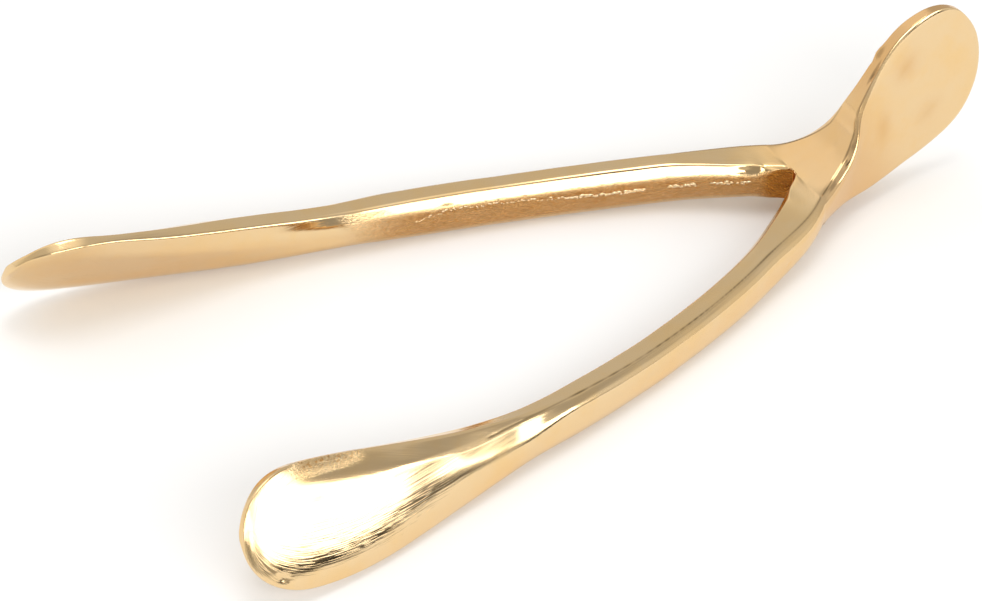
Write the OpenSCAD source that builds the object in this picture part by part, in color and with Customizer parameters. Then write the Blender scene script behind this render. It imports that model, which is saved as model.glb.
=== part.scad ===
// Brass wishbone ornament: one casting, divided into its natural regions.
// It lies flat: +X runs to the head, +Y is the left arm's side, +Z is up.
// The origin is the centre of the footprint, on the surface it lies on.

/* [Arms] */
// Distance along X from the crotch to the tips' centre line, mm
arm_reach = 115; // [95:1:135]
// Distance between the centre lines of the two tips, mm
tip_spread = 68.2; // [56:0.2:82]
// Height of the tips' centre line above the floor of the arms, mm
tip_height = 11.7; // [9:0.1:15]
// How far the arms run back in the first part of their bow, mm
bow_root_reach = 23.7; // [18:0.1:30]
// How far the arms spread in the first part of their bow, mm
bow_root_spread = 22.8; // [18:0.1:27]
// Height that the bow aims for near the crotch, mm
bow_root_height = 1.3; // [0.5:0.1:2.5]
// How far the arms run back in the last part of their bow, mm
bow_tip_reach = 88.3; // [75:0.1:98]
// How far the arms spread in the last part of their bow, mm
bow_tip_spread = 33.8; // [28:0.1:39]
// Height that the bow aims for near the tips, mm
bow_tip_height = 3.5; // [2.5:0.1:5]
// Width of an arm along its shank, mm
arm_width = 5.8; // [4.6:0.1:6.8]
// Height of an arm along its shank, mm
arm_height = 7.4; // [6:0.1:9]
// Width of an arm where it leaves the crotch, measured across the casting, mm
root_width = 9; // [7.6:0.1:10.8]
// Height of an arm where it leaves the crotch, mm
root_height = 6; // [5.2:0.1:7.4]
// Width of the sloped shoulder beside the flat top, mm
shoulder_width = 1.7; // [1:0.1:2]
// Depth of the sloped shoulder beside the flat top, mm
shoulder_depth = 2.2; // [1.2:0.1:2.6]

/* [Paddles] */
// Height of a paddle across its widest part, mm
paddle_height = 17.9; // [15:0.1:21.6]
// Thickness of a paddle at its middle, mm
paddle_thickness = 2.7; // [2.3:0.1:3.3]
// Lean of a paddle's outer face towards the sky, degrees
paddle_tilt = 33; // [26:1:40]
// How far the bevels reach in from a paddle's two edges, mm
paddle_bevel = 3.2; // [2.4:0.1:4.5]
// Where along the arm the rounded end begins, as a share of the arm
round_end_start = 0.885; // [0.84:0.005:0.92]

/* [Web and head] */
// Distance along X from the crotch to the head's far end, mm
head_reach = 30.5; // [26:0.1:36.2]
// Height of the head's far end above the floor of the arms, mm
head_rise = 26.2; // [22:0.1:30]
// Height of the head plate across its widest part, mm
head_height = 23.8; // [20:0.1:28.6]
// Lean of the head plate's sections away from upright, degrees
head_lean = 35; // [28:1:42]
// Thickness of the head plate, mm
head_thickness = 3; // [2.4:0.1:3.4]
// Height of the crotch's centre above the floor of the arms, mm
crotch_height = 5.8; // [4.8:0.1:6.8]
// Sharpness of the waist between the crotch and the head
waist_power = 2; // [1.6:0.1:2.6]
// Depth of the bevel round the head plate's edges, mm
head_bevel = 0.8; // [0.4:0.1:1.4]

/* [Hidden] */

brass = [0.80, 0.64, 0.40];

// Stations along the arm and along the head, as shares of each path
paddle_start = 0.62;
head_start = 0.45;
head_round_start = 0.65;

// ---- small helpers ----

function mix(a, b, k) = a + (b - a) * k;
function smooth(a, b, t) = let(x = min(1, max(0, (t - a) / (b - a)))) x * x * (3 - 2 * x);
function unit(v) = v / norm(v);

// A point on a curved path with four control points, and its direction there
function path_point(p, t) =
    p[0] * pow(1 - t, 3) + 3 * p[1] * pow(1 - t, 2) * t
    + 3 * p[2] * (1 - t) * t * t + p[3] * pow(t, 3);
function path_direction(p, t) =
    unit((p[1] - p[0]) * pow(1 - t, 2) + 2 * (p[2] - p[1]) * (1 - t) * t
    + (p[3] - p[2]) * t * t);

// A section: a bevelled box, its corners trimmed twice
function bevelled_box(w, h, tw, td, bw, bd) = [
    [w - tw, h], [tw - w, h], [-w, h - td], [-w, bd - h],
    [bw - w, -h], [w - bw, -h], [w, bd - h], [w, h - td]
];
function trim(p, r) = [
    for (i = [0 : len(p) - 1]) let(q = p[(i + 1) % len(p)])
        each [mix(p[i], q, r), mix(q, p[i], r)]
];
function section(w, h, tw, td, bw, bd) = trim(trim(bevelled_box(w, h, tw, td, bw, bd), 0.2), 0.2);

// A section placed in space on the directions across and up
function placed(c, across, up, s) = [for (q = s) c + across * q[0] + up * q[1]];

// How much of a rounded end is left: 1 along the body, near 0 at the very end
function end_left(t, start) = let(q = min(1, max(0, (t - start) / (1 - start)))) sqrt(max(0.0012, 1 - q * q));

// Stations that crowd together in a rounded end
function round_stations(start, count) =
    [for (i = [1 : count]) start + (1 - start) * sin(88 * i / count)];

// ---- arm and paddle ----

arm_path = [
    [0, -root_width / 2, crotch_height],
    [-bow_root_reach, -bow_root_spread, bow_root_height],
    [-bow_tip_reach, -bow_tip_spread, bow_tip_height],
    [-arm_reach, -tip_spread / 2, tip_height]
];

function arm_ring(t) =
    let(
        // The first section lies across the casting, the rest lie across the arm
        forward = unit(mix([-1, 0, 0], path_direction(arm_path, t), smooth(0, 0.2, t))),
        level = unit(cross([0, 0, 1], forward)),
        raised = cross(forward, level),
        lean = paddle_tilt * smooth(0.38, 0.8, t),
        across = level * cos(lean) + raised * sin(lean),
        up = raised * cos(lean) - level * sin(lean),
        left = end_left(t, round_end_start),
        root = 1 - smooth(0, 0.17, t),
        thin = smooth(0.6, 0.95, t),
        tall = smooth(0.51, 0.88, t),
        w = mix(mix(arm_width, root_width, root), paddle_thickness, thin) / 2 * max(left, 0.45),
        h = mix(mix(arm_height, root_height, root), paddle_height, tall) / 2 * left,
        tw = min(shoulder_width, w * 0.6),
        td = min(mix(shoulder_depth, paddle_bevel, tall), h * 0.6)
    )
    placed(path_point(arm_path, t), across, up,
        section(w, h, tw, td, min(1.5, w * 0.6), min(mix(1.8, paddle_bevel, tall), h * 0.6)));

arm_rings = [for (i = [0 : 26]) arm_ring(paddle_start * i / 26)];
paddle_rings = concat(
    [for (i = [0 : 10]) arm_ring(mix(paddle_start, round_end_start, i / 10))],
    [for (t = round_stations(round_end_start, 12)) arm_ring(t)]
);

// ---- web and head ----

head_path = [
    [0, 0, crotch_height],
    [head_reach * 0.36, 0, crotch_height],
    [head_reach * 0.66, 0, head_rise / 2],
    [head_reach, 0, head_rise]
];

// How much of the head's rounded end is left, a little fuller than an ellipse
function head_left(t) =
    let(q = min(1, max(0, (t - head_round_start) / (1 - head_round_start))))
    pow(max(0.00005, 1 - pow(q, 2.36)), 1 / 2.36);

function head_ring(t) =
    let(
        lean = head_lean * smooth(0.2, 0.5, t),
        across = [0, 1, 0],
        up = [-sin(lean), 0, cos(lean)],
        left = head_left(t),
        waist = pow(1 - min(1, t / 0.72), waist_power),
        tall = smooth(0, 0.85, t),
        edge = max(left, 0.4),
        w = mix(head_thickness / 2, root_width, waist),
        h = mix(root_height, head_height, tall) / 2 * left,
        tw = min(shoulder_width, w * mix(0.3, 0.6, waist)) * edge,
        td = min(head_bevel, h * 0.6)
    )
    placed(path_point(head_path, t), across, up, section(w * edge, h, tw, td, tw, td));

web_rings = [for (i = [0 : 16]) head_ring(head_start * i / 16)];
head_rings = concat(
    [for (i = [0 : 12]) head_ring(mix(head_start, head_round_start, i / 12))],
    [for (t = round_stations(head_round_start, 14)) head_ring(t)]
);

// ---- where the casting sits: lowest point on the floor, footprint centred ----

arm_points = [for (r = concat(arm_rings, paddle_rings)) each r];
head_points = [for (r = concat(web_rings, head_rings)) each r];
floor_z = min([for (p = concat(arm_points, head_points)) p[2]]);
back_x = min([for (p = arm_points) p[0]]);
front_x = max([for (p = head_points) p[0]]);
seat = [-(back_x + front_x) / 2, 0, -floor_z];

// A closed skin over a row of sections; side is -1 for the mirrored half
module skin(rings, side) {
    n = len(rings[0]);
    m = len(rings);
    walls = [
        for (j = [0 : m - 2]) for (i = [0 : n - 1]) let(
            a = j * n + i, b = j * n + (i + 1) % n, c = a + n, d = b + n
        ) each [[a, b, d], [a, d, c]]
    ];
    ends = [[for (i = [n - 1 : -1 : 0]) i], [for (i = [0 : n - 1]) (m - 1) * n + i]];
    faces = concat(walls, ends);
    polyhedron(
        points = [for (r = rings) each [for (p = r) [p[0], p[1] * side, p[2]] + seat]],
        faces = side > 0 ? faces : [for (f = faces) [for (i = [len(f) - 1 : -1 : 0]) f[i]]]
    );
}

module head() {
    color(brass) skin(head_rings, 1);
}

module web() {
    color(brass) skin(web_rings, 1);
}

module right_arm() {
    color(brass) skin(arm_rings, 1);
}

module left_arm() {
    color(brass) skin(arm_rings, -1);
}

module right_paddle() {
    color(brass) skin(paddle_rings, 1);
}

module left_paddle() {
    color(brass) skin(paddle_rings, -1);
}

head();
web();
left_arm();
right_arm();
left_paddle();
right_paddle();
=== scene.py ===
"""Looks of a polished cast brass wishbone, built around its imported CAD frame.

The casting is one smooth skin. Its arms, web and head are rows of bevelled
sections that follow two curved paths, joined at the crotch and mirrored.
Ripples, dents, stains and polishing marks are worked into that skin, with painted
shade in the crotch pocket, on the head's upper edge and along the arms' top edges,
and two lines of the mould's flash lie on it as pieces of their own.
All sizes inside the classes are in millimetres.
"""

import logging
import math
from dataclasses import dataclass, field
from enum import Enum

import bmesh
import bpy
import numpy as np
from mathutils import Matrix, Vector
from mathutils.bvhtree import BVHTree

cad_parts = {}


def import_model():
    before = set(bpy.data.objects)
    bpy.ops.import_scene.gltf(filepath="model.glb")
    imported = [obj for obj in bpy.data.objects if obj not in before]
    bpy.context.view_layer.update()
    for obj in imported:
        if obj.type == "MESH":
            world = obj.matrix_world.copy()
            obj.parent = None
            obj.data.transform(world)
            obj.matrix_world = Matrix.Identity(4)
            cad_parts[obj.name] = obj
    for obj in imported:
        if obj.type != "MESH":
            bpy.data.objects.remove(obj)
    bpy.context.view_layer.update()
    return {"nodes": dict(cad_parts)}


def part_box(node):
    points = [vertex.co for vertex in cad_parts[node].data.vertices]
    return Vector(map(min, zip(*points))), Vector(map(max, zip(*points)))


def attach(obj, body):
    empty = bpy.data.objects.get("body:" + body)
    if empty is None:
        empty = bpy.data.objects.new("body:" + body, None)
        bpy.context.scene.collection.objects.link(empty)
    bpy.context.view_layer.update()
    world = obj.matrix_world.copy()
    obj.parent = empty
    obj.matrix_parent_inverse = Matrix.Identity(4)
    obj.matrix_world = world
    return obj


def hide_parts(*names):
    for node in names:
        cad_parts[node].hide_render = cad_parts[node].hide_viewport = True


LOG = logging.getLogger("wishbone")
MM = 0.001

Colour = tuple[float, float, float]
Point = tuple[float, float, float]
Span = tuple[float, float]
Values = float | np.ndarray
Input = bpy.types.NodeSocket | float | tuple[float, ...]


class Side(Enum):
    """The two arms, by the sign of their Y."""

    LEFT = 1.0
    RIGHT = -1.0


class Corner(Enum):
    """Corners of a section, in the order they go round it."""

    TOP_OUT = 0
    TOP_RIDGE = 1
    TOP_IN = 2
    SHOULDER_IN = 3
    FOOT_IN = 4
    BOTTOM_IN = 5
    BOTTOM_OUT = 6
    FOOT_OUT = 7
    SHOULDER_OUT = 8


# ---------------------------------------------------------------- helpers


def ease(start: float, end: float, t: np.ndarray) -> np.ndarray:
    """Goes smoothly from 0 at start to 1 at end.

    Args:
        start: Station where the change begins.
        end: Station where it is complete.
        t: Stations to evaluate.

    Returns:
        The share of the change at each station.
    """
    x = np.clip((t - start) / (end - start), 0.0, 1.0)
    return x * x * (3.0 - 2.0 * x)


def mix(a: Values, b: Values, k: Values) -> Values:
    """Blends a into b by the share k."""
    return a + (b - a) * k


def rows_to_unit(v: np.ndarray) -> np.ndarray:
    """Scales each row of v to length one."""
    return v / np.maximum(np.linalg.norm(v, axis=-1, keepdims=True), 1e-12)


@dataclass(frozen=True)
class CurvedPath:
    """A smooth path with four control points, in millimetres."""

    controls: tuple[Point, Point, Point, Point]

    def points(self, t: np.ndarray) -> np.ndarray:
        """Points on the path.

        Args:
            t: Stations from 0 to 1.

        Returns:
            One row of X, Y, Z for each station.
        """
        p = np.array(self.controls, float)
        t = t[:, None]
        s = 1.0 - t
        return p[0] * s**3 + 3 * p[1] * s * s * t + 3 * p[2] * s * t * t + p[3] * t**3

    def directions(self, t: np.ndarray) -> np.ndarray:
        """Unit directions of travel along the path at stations t."""
        p = np.array(self.controls, float)
        t = t[:, None]
        s = 1.0 - t
        return rows_to_unit((p[1] - p[0]) * s * s + 2 * (p[2] - p[1]) * s * t + (p[3] - p[2]) * t * t)


@dataclass(frozen=True)
class Ripple:
    """Gentle unevenness of a hand-polished casting: waves in fixed random directions."""

    wavelength: float
    depth: float
    seed: int
    waves: int = 14
    length_range: Span = (0.7, 1.6)
    crest: float = 1.9

    def at(self, points: np.ndarray) -> np.ndarray:
        """Depth of the unevenness.

        Args:
            points: Rows of X, Y, Z in millimetres.

        Returns:
            A value from 0 to depth for each point.
        """
        rng = np.random.default_rng(self.seed)
        total = np.zeros(len(points))
        for _ in range(self.waves):
            direction = rows_to_unit(rng.normal(size=3))
            length = self.wavelength * rng.uniform(*self.length_range)
            total += np.sin(points @ direction * (2 * math.pi / length) + rng.uniform(0, 2 * math.pi))
        return self.depth * (0.5 + 0.5 * np.clip(total / (self.crest * math.sqrt(self.waves)), -1, 1))


@dataclass(frozen=True)
class Dent:
    """A small hollow or, with a negative depth, a small lump on the skin."""

    name: str
    centre: Point
    length: float
    width: float
    depth: float
    along: Point = (1.0, 0.0, 0.0)
    steepness: float = 2.0

    def at(self, points: np.ndarray) -> np.ndarray:
        """How far each point sinks.

        Args:
            points: Rows of X, Y, Z in millimetres.

        Returns:
            Depth in millimetres for each point.
        """
        offset = points - np.array(self.centre)
        axis = rows_to_unit(np.array(self.along, float))
        lengthwise = offset @ axis
        across = np.linalg.norm(offset - lengthwise[:, None] * axis, axis=1)
        reach = (lengthwise / self.length) ** 2 + (across / self.width) ** 2
        return self.depth * np.exp(-reach * self.steepness)


@dataclass(frozen=True)
class Ledge:
    """A patch of the skin broken away, with fairly sharp ends."""

    name: str
    centre: Point
    along: Point
    half: Point
    edge: float
    depth: float

    def at(self, points: np.ndarray) -> np.ndarray:
        """How far each point drops.

        Args:
            points: Rows of X, Y, Z in millimetres.

        Returns:
            Depth in millimetres for each point.
        """
        offset = points - np.array(self.centre)
        axis = rows_to_unit(np.array(self.along, float))
        side = rows_to_unit(np.cross([0.0, 0.0, 1.0], axis))
        share = np.ones(len(points))
        for direction, half in zip((axis, side, np.cross(axis, side)), self.half):
            share *= 1 - ease(half - self.edge, half + self.edge, np.abs(offset @ direction))
        return self.depth * share


@dataclass(frozen=True)
class CrotchPocket:
    """The round-ended pocket between the two arms, cut a little into the web."""

    centre: float = -1.5
    radius: float = 1.7
    reach: float = 5.2

    def open(self, points: np.ndarray) -> np.ndarray:
        """Pushes the skin away from the pocket's upright axis.

        Args:
            points: Rows of X, Y, Z in millimetres from the crotch.

        Returns:
            The moved points.
        """
        offset = points[:, :2] - np.array([self.centre, 0.0])
        away = np.linalg.norm(offset, axis=1)
        share = np.clip(away / self.reach, 0.0, 1.0)
        wanted = self.radius + (self.reach - self.radius) * share**2
        near = (away < self.reach) & (points[:, 0] < self.centre + self.reach)
        scale = np.where(near, wanted / np.maximum(away, 1e-6), 1.0)
        moved = points.copy()
        moved[:, :2] = np.array([self.centre, 0.0]) + offset * scale[:, None]
        return moved


# ---------------------------------------------------------------- the casting's form


@dataclass(frozen=True)
class SectionRing:
    """A bevelled box with rounded corners, sampled with the same count everywhere."""

    corner_points: int = 7
    edge_points: tuple[int, ...] = (2, 3, 4, 14, 4, 4, 4, 10, 8)
    most_of_edge: float = 0.48

    @property
    def count(self) -> int:
        """Points round the whole section."""
        return len(self.edge_points) * self.corner_points + sum(self.edge_points)

    def first_index(self, corner: Corner) -> int:
        """Index of the first point of a corner's rounding."""
        return corner.value * self.corner_points + sum(self.edge_points[: corner.value])

    def last_index(self, corner: Corner) -> int:
        """Index of the last point of a corner's rounding."""
        return self.first_index(corner) + self.corner_points - 1

    def sample(self, corners: np.ndarray, radii: np.ndarray) -> np.ndarray:
        """Rounds the corners and fills the edges.

        Args:
            corners: Stations x corners x 2 places.
            radii: Stations x corners lengths that each rounding takes from its edges.

        Returns:
            Stations x count x 2 points.
        """
        before = np.roll(corners, 1, axis=1) - corners
        after = np.roll(corners, -1, axis=1) - corners
        length_before = np.linalg.norm(before, axis=2, keepdims=True)
        length_after = np.linalg.norm(after, axis=2, keepdims=True)
        wanted = radii[..., None]
        reach_before = np.minimum(wanted, length_before * self.most_of_edge) / np.maximum(length_before, 1e-9)
        reach_after = np.minimum(wanted, length_after * self.most_of_edge) / np.maximum(length_after, 1e-9)
        start = corners + before * reach_before
        end = corners + after * reach_after
        u = np.linspace(0.0, 1.0, self.corner_points)[None, :, None]
        columns = []
        for i, extra in enumerate(self.edge_points):
            a, c, b = start[:, i : i + 1], corners[:, i : i + 1], end[:, i : i + 1]
            columns.append(a * (1 - u) ** 2 + 2 * c * u * (1 - u) + b * u * u)
            following = (i + 1) % len(self.edge_points)
            nxt = start[:, following : following + 1]
            k = (np.arange(1, extra + 1) / (extra + 1))[None, :, None]
            columns.append(b + (nxt - b) * k)
        return np.concatenate(columns, axis=1)


@dataclass(frozen=True)
class ArmForm:
    """Sizes of one arm and its paddle."""

    reach: float = 115.0
    tip_spread: float = 68.2
    tip_height: float = 11.7
    bow_root: Point = (23.7, 22.8, 1.3)
    bow_tip: Point = (88.3, 33.8, 3.5)
    width: float = 5.8
    height: float = 7.4
    root_width: float = 9.0
    root_height: float = 6.0
    crotch_height: float = 5.8
    shoulder_width: float = 1.7
    shoulder_depth: float = 2.2
    belly_width: float = 1.5
    belly_depth: float = 1.8
    paddle_height: float = 17.82
    paddle_thickness: float = 2.7
    paddle_tilt: float = 33.0
    paddle_bevel: float = 3.2
    round_end_start: float = 0.885
    inner_shoulder_start: float = 0.05
    tip_thickness: float = 0.5
    tip_blunt: float = 0.7
    outer_width: float = 1.45
    outer_depth: float = 1.4
    face_edge: float = 3.9
    bevel_share: float = 0.6
    crowd_share: float = 0.45
    crowd_power: float = 1.6
    end_turn: float = 89.0
    closing_from: float = 0.12
    closing_least: float = 0.35
    crisp_radius: Span = (0.5, 0.42)
    soft_radius: Span = (1.2, 1.7)
    lip_radius: Span = (0.5, 1.4)
    foot_radius: Span = (0.9, 3.2)
    flank_radius: float = 1.8
    turn_span: Span = (0.0, 0.2)
    root_span: Span = (0.0, 0.17)
    lean_span: Span = (0.38, 0.8)
    thin_span: Span = (0.6, 0.95)
    tall_span: Span = (0.51, 0.88)
    blunt_span: Span = (0.84, 0.96)
    drop_span: Span = (0.5, 0.66)
    swing_span: Span = (0.56, 0.76)
    ridge_span: Span = (0.54, 0.78)
    first_slide: Span = (0.5, 0.59)
    last_slide: Span = (0.6, 0.82)
    lip_span: Span = (0.7, 0.8)
    foot_span: Span = (0.52, 0.7)

    def path(self) -> CurvedPath:
        """Centre line of the right arm.

        Returns:
            The path from the crotch to the arm's tip.
        """
        return CurvedPath(
            (
                (0.0, -self.root_width / 2, self.crotch_height),
                (-self.bow_root[0], -self.bow_root[1], self.bow_root[2]),
                (-self.bow_tip[0], -self.bow_tip[1], self.bow_tip[2]),
                (-self.reach, -self.tip_spread / 2, self.tip_height),
            )
        )

    def stations(self, body: int, end: int) -> np.ndarray:
        """Stations along the arm, crowded at the root and in the rounded end.

        Args:
            body: Number of stations along the arm's body.
            end: Number of stations in the rounded end.

        Returns:
            Rising stations from 0 to nearly 1.
        """
        even = np.linspace(0.0, 1.0, body)
        along = self.round_end_start * mix(even, even**self.crowd_power, self.crowd_share)
        angle = np.radians(np.linspace(0.0, self.end_turn, end + 1)[1:])
        return np.concatenate([along, self.round_end_start + (1 - self.round_end_start) * np.sin(angle)])

    def rings(self, t: np.ndarray, ring: SectionRing) -> np.ndarray:
        """Sections of the right arm.

        Args:
            t: Stations along the arm.
            ring: How each section is sampled.

        Returns:
            Stations x points x 3, in millimetres from the crotch.
        """
        path = self.path()
        turned = ease(*self.turn_span, t)[:, None]
        forward = mix(np.array([-1.0, 0.0, 0.0]), path.directions(t), turned)
        forward = rows_to_unit(forward)
        level = rows_to_unit(np.cross([0.0, 0.0, 1.0], forward))
        raised = np.cross(forward, level)
        lean = np.radians(self.paddle_tilt * ease(*self.lean_span, t))[:, None]
        across = level * np.cos(lean) + raised * np.sin(lean)
        up = raised * np.cos(lean) - level * np.sin(lean)

        q = np.clip((t - self.round_end_start) / (1 - self.round_end_start), 0.0, 1.0)
        left = np.sqrt(np.maximum(1 - q * q, 1e-5))
        root = 1 - ease(*self.root_span, t)
        thin = ease(*self.thin_span, t)
        tall = ease(*self.tall_span, t)
        w = mix(mix(self.width, self.root_width, root), self.paddle_thickness, thin) / 2
        closing = np.clip(left / self.closing_from, self.closing_least, 1.0) ** 0.5
        w = w * np.maximum(left, self.tip_thickness) * closing
        h = mix(mix(self.height, self.root_height, root), self.paddle_height, tall) / 2 * left
        inner = ease(0.0, self.inner_shoulder_start, t)
        blunt = 1 - self.tip_blunt * ease(*self.blunt_span, t)

        w_most = w * self.bevel_share
        h_most = h * self.bevel_share
        tw = np.minimum(self.shoulder_width, w_most) * blunt
        td = np.minimum(mix(self.shoulder_depth, self.paddle_bevel, tall), h_most)
        bw = np.minimum(self.belly_width, w_most)
        bd = np.minimum(mix(self.belly_depth, self.paddle_bevel, tall), h_most)
        ow = np.minimum(self.outer_width, w_most) * blunt
        od = np.minimum(mix(self.outer_depth, self.face_edge, tall), h_most)
        # the outer shoulder widens into the paddle's face, and the flank narrows into its foot
        drop = ease(*self.drop_span, t)
        swing = ease(*self.swing_span, t)
        ridge = ease(*self.ridge_span, t)
        slide = 0.6 * ease(*self.first_slide, t) + 0.4 * ease(*self.last_slide, t)
        nil = np.zeros_like(t)
        corners = np.stack(
            [
                np.stack([mix(w - ow, w, swing), h - od * drop], -1),
                np.stack([mix(w * 0.3, w - ow, ridge), h], -1),
                np.stack([tw * inner - w, h], -1),
                np.stack([-w, h - td * inner], -1),
                np.stack([-w, bd * inner - h], -1),
                np.stack([bw * inner - w, -h], -1),
                np.stack([mix(w - bw, nil, slide), -h], -1),
                np.stack([w - bw * slide, mix(bd, nil, slide) - h], -1),
                np.stack([w, mix(h - od, bd - h, slide)], -1),
            ],
            axis=1,
        )
        shrink = np.minimum(1.0, left + 0.2)
        crisp = mix(*self.crisp_radius, tall)
        soft = mix(*self.soft_radius, tall) * shrink
        lip = mix(*self.lip_radius, ease(*self.lip_span, t)) * shrink
        foot = mix(*self.foot_radius, ease(*self.foot_span, t)) * shrink
        radii = np.stack(
            [
                lip,
                crisp * drop,
                crisp * inner,
                soft * inner,
                soft * inner,
                soft * inner,
                soft,
                mix(soft, self.flank_radius, slide),
                foot,
            ],
            axis=1,
        )
        flat = ring.sample(corners, radii)
        centre = path.points(t)
        return centre[:, None] + flat[..., :1] * across[:, None] + flat[..., 1:] * up[:, None]


@dataclass(frozen=True)
class HeadForm:
    """Sizes of the web and the head plate."""

    reach: float = 30.5
    rise: float = 26.2
    height: float = 23.8
    thickness: float = 3.0
    lean: float = 35.0
    bevel: float = 0.8
    waist_power: float = 2.0
    waist_end: float = 0.72
    round_start: float = 0.65
    fullness: float = 2.36
    low_bow: float = 0.36
    high_bow: float = 0.66
    end_turn: float = 89.4
    bevel_share: float = 0.6
    thin_share: float = 0.3
    end_width: float = 0.4
    closing_from: float = 0.12
    closing_least: float = 0.25
    crisp_radius: Span = (0.5, 0.3)
    soft_radius: Span = (1.3, 0.5)
    lean_span: Span = (0.2, 0.5)
    tall_span: Span = (0.0, 0.85)
    settle_span: Span = (0.0, 0.36)

    def path(self, arm: ArmForm) -> CurvedPath:
        """Centre line of the web and head, in the mirror plane.

        Args:
            arm: The arm that the web meets.

        Returns:
            The path from the crotch to the head's end.
        """
        return CurvedPath(
            (
                (0.0, 0.0, arm.crotch_height),
                (self.reach * self.low_bow, 0.0, arm.crotch_height),
                (self.reach * self.high_bow, 0.0, self.rise / 2),
                (self.reach, 0.0, self.rise),
            )
        )

    def stations(self, body: int, end: int) -> np.ndarray:
        """Stations along the head, crowded in its rounded end.

        Args:
            body: Number of stations before the rounded end.
            end: Number of stations in it.

        Returns:
            Rising stations, without the crotch itself.
        """
        angle = np.radians(np.linspace(0.0, self.end_turn, end + 1)[1:])
        tail = self.round_start + (1 - self.round_start) * np.sin(angle)
        return np.concatenate([np.linspace(0.0, self.round_start, body + 1)[1:], tail])

    def rings(self, t: np.ndarray, ring: SectionRing, arm: ArmForm) -> np.ndarray:
        """Half sections of the web and head, closed along the mirror plane.

        Args:
            t: Stations along the head.
            ring: How each section is sampled.
            arm: The arm that the web meets.

        Returns:
            Stations x points x 3, in millimetres from the crotch.
        """
        lean = np.radians(self.lean) * ease(*self.lean_span, t)
        out = np.tile([0.0, -1.0, 0.0], (len(t), 1))
        up = np.stack([-np.sin(lean), np.zeros_like(t), np.cos(lean)], 1)
        q = np.clip((t - self.round_start) / (1 - self.round_start), 0.0, 1.0)
        left = np.maximum(1 - q**self.fullness, 5e-5) ** (1 / self.fullness)
        waist = (1 - np.minimum(1.0, t / self.waist_end)) ** self.waist_power
        tall = ease(*self.tall_span, t)
        settle = ease(*self.settle_span, t)
        closing = np.clip(left / self.closing_from, self.closing_least, 1.0) ** 0.5
        edge = np.maximum(left, self.end_width) * closing
        w = mix(self.thickness / 2, arm.root_width, waist) * edge
        h = mix(arm.root_height, self.height, tall) / 2 * left
        w_most = w * mix(self.bevel_share, self.thin_share, settle)
        tw = np.minimum(arm.outer_width, w_most)
        td = np.minimum(mix(arm.outer_depth, self.bevel, settle), h * self.bevel_share)
        bw = np.minimum(arm.belly_width, w_most)
        nil = np.zeros_like(t)
        corners = np.stack(
            [
                np.stack([w - tw, h], -1),
                np.stack([mix(w * 0.65, (w - tw) * 0.5, settle), h], -1),
                np.stack([nil, h], -1),
                np.stack([nil, h], -1),
                np.stack([nil, -h], -1),
                np.stack([nil, -h], -1),
                np.stack([w - bw, -h], -1),
                np.stack([w, td - h], -1),
                np.stack([w, h - td], -1),
            ],
            axis=1,
        )
        crisp = mix(*self.crisp_radius, settle)
        soft = mix(*self.soft_radius, settle)
        radii = np.stack([crisp, nil, nil, nil, nil, nil, soft, soft, soft], axis=1)
        flat = ring.sample(corners, radii)
        centre = self.path(arm).points(t)
        return centre[:, None] + flat[..., :1] * out[:, None] + flat[..., 1:] * up[:, None]


# ---------------------------------------------------------------- finishes


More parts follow.
